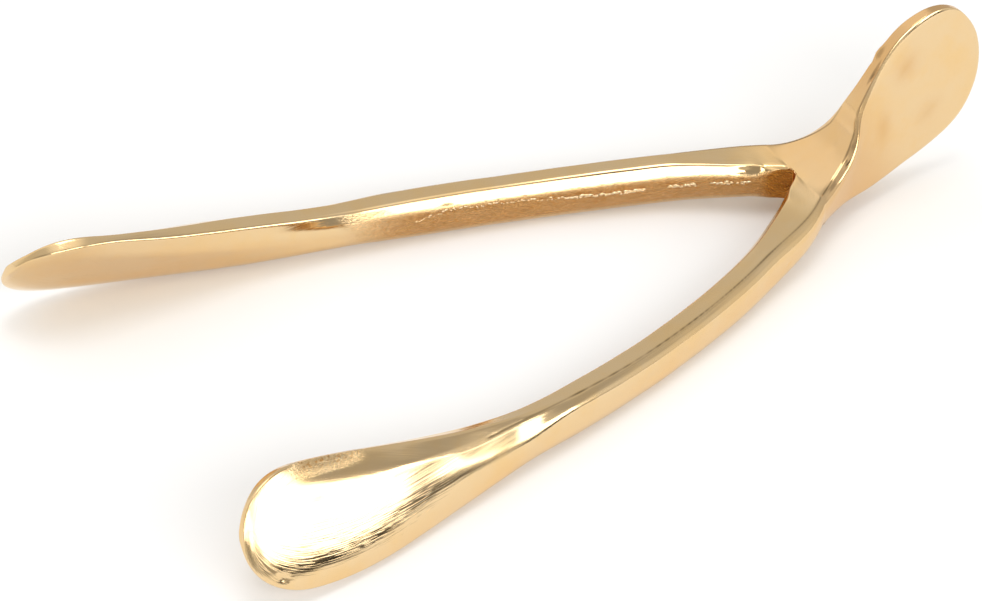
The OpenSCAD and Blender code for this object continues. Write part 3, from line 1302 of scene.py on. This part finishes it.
@dataclass(frozen=True)
class MouldSeam:
    """The crumbly line of flash that the mould's joint left inside one arm."""

    name: str
    side: Side
    run: tuple[tuple[float, float], ...]
    spacing: float = 0.2
    crumb: float = 0.27
    scatter: float = 0.24
    seed: int = 11
    steps: int = 90
    finish: RawFlash = field(default_factory=RawFlash)

    def path(self, skin: bpy.types.Object, seat: Vector) -> list[Vector]:
        """Finds the seam's path on the arm's inner side.

        Args:
            skin: The finished casting.
            seat: The casting's seat, in metres.

        Returns:
            Points on the skin, in metres.
        """
        work = bmesh.new()
        work.from_mesh(skin.data)
        tree = BVHTree.FromBMesh(work)
        work.free()
        stations = np.linspace(self.run[0][0], self.run[-1][0], self.steps)
        heights = np.interp(stations, [r[0] for r in self.run], [r[1] for r in self.run])
        toward = Vector((0.0, self.side.value, 0.0))
        found = []
        for x, z in zip(stations, heights):
            hit = tree.ray_cast(seat + Vector((x, 0.0, z)) * MM, toward)[0]
            if hit is not None:
                found.append(hit)
        return found

    def build(self, skin: bpy.types.Object, seat: Vector) -> bpy.types.Object:
        """Strews the crumbs along the seam and makes them one plain mesh.

        Args:
            skin: The finished casting.
            seat: The casting's seat, in metres.

        Returns:
            The finished piece.
        """
        points = self.path(skin, seat)
        line = bpy.data.meshes.new("seam_path")
        line.from_pydata(points, [(i, i + 1) for i in range(len(points) - 1)], [])
        holder = bpy.data.objects.new("seam_path", line)
        bpy.context.scene.collection.objects.link(holder)
        seam = SeamTree("crumb_line")
        seam.build(self.finish.material("raw_flash"))
        modifier = holder.modifiers.new("crumbs", "NODES")
        modifier.node_group = seam.tree
        modifier[seam.sockets["Spacing"]] = self.spacing * MM
        modifier[seam.sockets["Crumb size"]] = self.crumb * MM
        modifier[seam.sockets["Scatter"]] = self.scatter * MM
        modifier[seam.sockets["Seed"]] = self.seed
        graph = bpy.context.evaluated_depsgraph_get()
        mesh = bpy.data.meshes.new_from_object(holder.evaluated_get(graph))
        mesh.name = self.name
        bpy.data.objects.remove(holder)
        piece = bpy.data.objects.new(self.name, mesh)
        bpy.context.scene.collection.objects.link(piece)
        return piece


# ---------------------------------------------------------------- studio


@dataclass(frozen=True)
class SoftBox:
    """A rectangular soft light aimed at a point."""

    name: str
    place: Point
    aim: Point
    size: tuple[float, float]
    power: float
    colour: Colour = (1.0, 1.0, 1.0)

    def hang(self) -> bpy.types.Object:
        """Hangs the light in the scene.

        Returns:
            The light's object.
        """
        data = bpy.data.lights.new(self.name, "AREA")
        data.shape = "RECTANGLE"
        data.size, data.size_y = self.size
        data.energy = self.power
        data.color = self.colour
        lamp = bpy.data.objects.new(self.name, data)
        lamp.location = self.place
        lamp.rotation_euler = (Vector(self.aim) - Vector(self.place)).to_track_quat("-Z", "Y").to_euler()
        bpy.context.scene.collection.objects.link(lamp)
        return lamp


@dataclass(frozen=True)
class SkyPatch:
    """A round part of the sky that is brighter or darker than the rest."""

    azimuth: float
    elevation: float
    inner: float
    outer: float
    level: float

    def direction(self) -> Vector:
        """Unit direction of the patch's middle."""
        az, el = math.radians(self.azimuth), math.radians(self.elevation)
        return Vector((math.cos(az) * math.cos(el), math.sin(az) * math.cos(el), math.sin(el)))


@dataclass
class Studio:
    """White sweep, soft lights and the camera."""

    sweep_half: float = 3.0
    sweep: PaleSweep = field(default_factory=PaleSweep)
    horizon: float = 0.67
    zenith: float = 1.1
    zenith_span: Span = (0.84, 0.95)
    sky_colour: Colour = (1.0, 0.99, 0.97)
    patches: tuple[SkyPatch, ...] = (
        SkyPatch(-57.0, 1.5, 8.0, 14.0, 0.05),
        SkyPatch(-39.0, 1.0, 3.0, 8.0, 0.42),
        SkyPatch(-47.0, 0.0, 3.0, 7.0, 0.16),
        SkyPatch(-78.0, 2.0, 4.0, 13.0, 0.38),
        SkyPatch(-102.0, 56.0, 4.0, 11.0, 0.08),
        SkyPatch(102.0, 46.0, 20.0, 32.0, 1.12),
        SkyPatch(128.0, 18.0, 18.0, 34.0, 1.0),
        SkyPatch(-152.0, 30.0, 6.0, 24.0, 0.38),
        SkyPatch(-31.0, 14.0, 8.0, 18.0, 0.82),
        SkyPatch(-32.0, 39.0, 5.0, 13.0, 0.48),
    )
    lights: tuple[SoftBox, ...] = (
        SoftBox("front_box", (-0.25, -0.96, 0.66), (0.0, 0.0, 0.0), (1.05, 0.50), 5.8),
        SoftBox("side_box", (0.607, -0.974, 0.43), (0.0, 0.0, 0.0), (0.58, 0.38), 2.3),
        SoftBox("top_box", (0.0, 0.05, 1.5), (0.0, 0.0, 0.0), (0.62, 0.62), 3.8),
    )
    eye: Point = (-0.42977, -0.58190, 0.56414)
    azimuth: float = 32.913
    elevation: float = 38.888
    roll: float = 1.889
    lens: float = 222.5

    def lay_sweep(self) -> bpy.types.Object:
        """Lays the white surface under the ornament.

        Returns:
            The surface's object.
        """
        mesh = bpy.data.meshes.new("white_sweep")
        s = self.sweep_half
        mesh.from_pydata([(-s, -s, 0), (s, -s, 0), (s, s, 0), (-s, s, 0)], [], [(0, 1, 2, 3)])
        mesh.materials.append(self.sweep.material("white_sweep"))
        floor = bpy.data.objects.new("white_sweep", mesh)
        bpy.context.scene.collection.objects.link(floor)
        return floor

    @staticmethod
    def sky_step(
        tree: bpy.types.NodeTree, source: bpy.types.NodeSocket, low: float, high: float
    ) -> bpy.types.NodeSocket:
        """Maps a value to a smooth 0 to 1.

        Args:
            tree: The sky's node tree.
            source: The value to map.
            low: Where the result is 0.
            high: Where the result is 1.

        Returns:
            The result's socket.
        """
        step = tree.nodes.new("ShaderNodeMapRange")
        step.interpolation_type = "SMOOTHSTEP"
        tree.links.new(source, step.inputs["Value"])
        step.inputs["From Min"].default_value = low
        step.inputs["From Max"].default_value = high
        return step.outputs["Result"]

    @staticmethod
    def sky_mix(
        tree: bpy.types.NodeTree, share: bpy.types.NodeSocket, a: Input, b: float
    ) -> bpy.types.NodeSocket:
        """Blends one level of light into another.

        Args:
            tree: The sky's node tree.
            share: How much of b there is.
            a: The level at share 0, a number or a socket.
            b: The level at share 1.

        Returns:
            The blended level's socket.
        """
        blend = tree.nodes.new("ShaderNodeMix")
        tree.links.new(share, blend.inputs[0])
        if isinstance(a, bpy.types.NodeSocket):
            tree.links.new(a, blend.inputs[2])
        else:
            blend.inputs[2].default_value = a
        blend.inputs[3].default_value = b
        return blend.outputs[0]

    def light(self) -> None:
        """Builds the sky with its bright and dark patches, keeps white as white, and hangs the lights."""
        world = bpy.data.worlds.new("soft_sky")
        bpy.context.scene.world = world
        world.use_nodes = True
        tree = world.node_tree
        nodes, links = tree.nodes, tree.links
        direction = nodes.new("ShaderNodeTexCoord").outputs["Generated"]
        split = nodes.new("ShaderNodeSeparateXYZ")
        links.new(direction, split.inputs[0])
        rise = self.sky_step(tree, split.outputs["Z"], *self.zenith_span)
        level = self.sky_mix(tree, rise, self.horizon, self.zenith)
        for patch in self.patches:
            dot = nodes.new("ShaderNodeVectorMath")
            dot.operation = "DOT_PRODUCT"
            links.new(direction, dot.inputs[0])
            dot.inputs[1].default_value = patch.direction()
            edge, core = math.cos(math.radians(patch.outer)), math.cos(math.radians(patch.inner))
            share = self.sky_step(tree, dot.outputs["Value"], edge, core)
            level = self.sky_mix(tree, share, level, patch.level)
        links.new(level, nodes["Background"].inputs["Strength"])
        nodes["Background"].inputs["Color"].default_value = (*self.sky_colour, 1.0)
        bpy.context.scene.view_settings.view_transform = "Standard"
        for box in self.lights:
            box.hang()

    def set_camera(self, seat: Vector) -> bpy.types.Object:
        """Places the camera and makes it the scene's own.

        Args:
            seat: The point that the eye is measured from, in metres.

        Returns:
            The camera.
        """
        az, el, roll = (math.radians(v) for v in (self.azimuth, self.elevation, self.roll))
        ahead = Vector((math.sin(az) * math.cos(el), math.cos(az) * math.cos(el), -math.sin(el)))
        right = Vector((math.cos(az), -math.sin(az), 0.0))
        up = right.cross(ahead)
        turned_right = right * math.cos(roll) + up * math.sin(roll)
        turned_up = up * math.cos(roll) - right * math.sin(roll)
        data = bpy.data.cameras.new("camera")
        data.lens = self.lens
        data.sensor_width = 36.0
        data.clip_start, data.clip_end = 0.05, 20.0
        camera = bpy.data.objects.new("camera", data)
        turn = Matrix((turned_right, turned_up, -ahead)).transposed().to_4x4()
        camera.matrix_world = Matrix.Translation(seat + Vector(self.eye)) @ turn
        bpy.context.scene.collection.objects.link(camera)
        bpy.context.scene.camera = camera
        return camera


def mould_seams() -> tuple[MouldSeam, ...]:
    """The two runs of flash inside the left arm.

    Returns:
        The long crumbly run, and the sparser one towards the paddle.
    """
    near_crotch = ((-30.0, 4.4), (-22.0, 4.3), (-17.0, 4.5), (-12.0, 5.0), (-7.5, 5.6), (-5.0, 5.9))
    near_paddle = ((-54.0, 4.0), (-50.0, 5.0), (-46.5, 5.3), (-38.0, 4.9), (-30.0, 4.5))
    return (
        MouldSeam("flash_seam", Side.LEFT, near_crotch),
        MouldSeam("flash_seam_end", Side.LEFT, near_paddle, spacing=0.5, crumb=0.2),
    )


def main() -> None:
    """Builds the ornament around its frame, then the studio."""
    logging.basicConfig(level=logging.INFO, format="%(name)s: %(message)s")
    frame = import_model()
    web_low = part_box("web")[0]
    LOG.info("frame loaded: %s", sorted(frame["nodes"]))

    maker = BrassCasting()
    casting = maker.build(web_low.x)
    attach(casting, "root")
    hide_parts("head", "web", "left_arm", "right_arm", "left_paddle", "right_paddle")
    LOG.info("piece %s: %d faces", casting.name, len(casting.data.polygons))

    for seam in mould_seams():
        piece = seam.build(casting, maker.seat)
        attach(piece, "root")
        LOG.info("piece %s: %d faces", piece.name, len(piece.data.polygons))

    studio = Studio()
    studio.lay_sweep()
    studio.light()
    studio.set_camera(maker.seat)


if __name__ == "__main__":
    main()
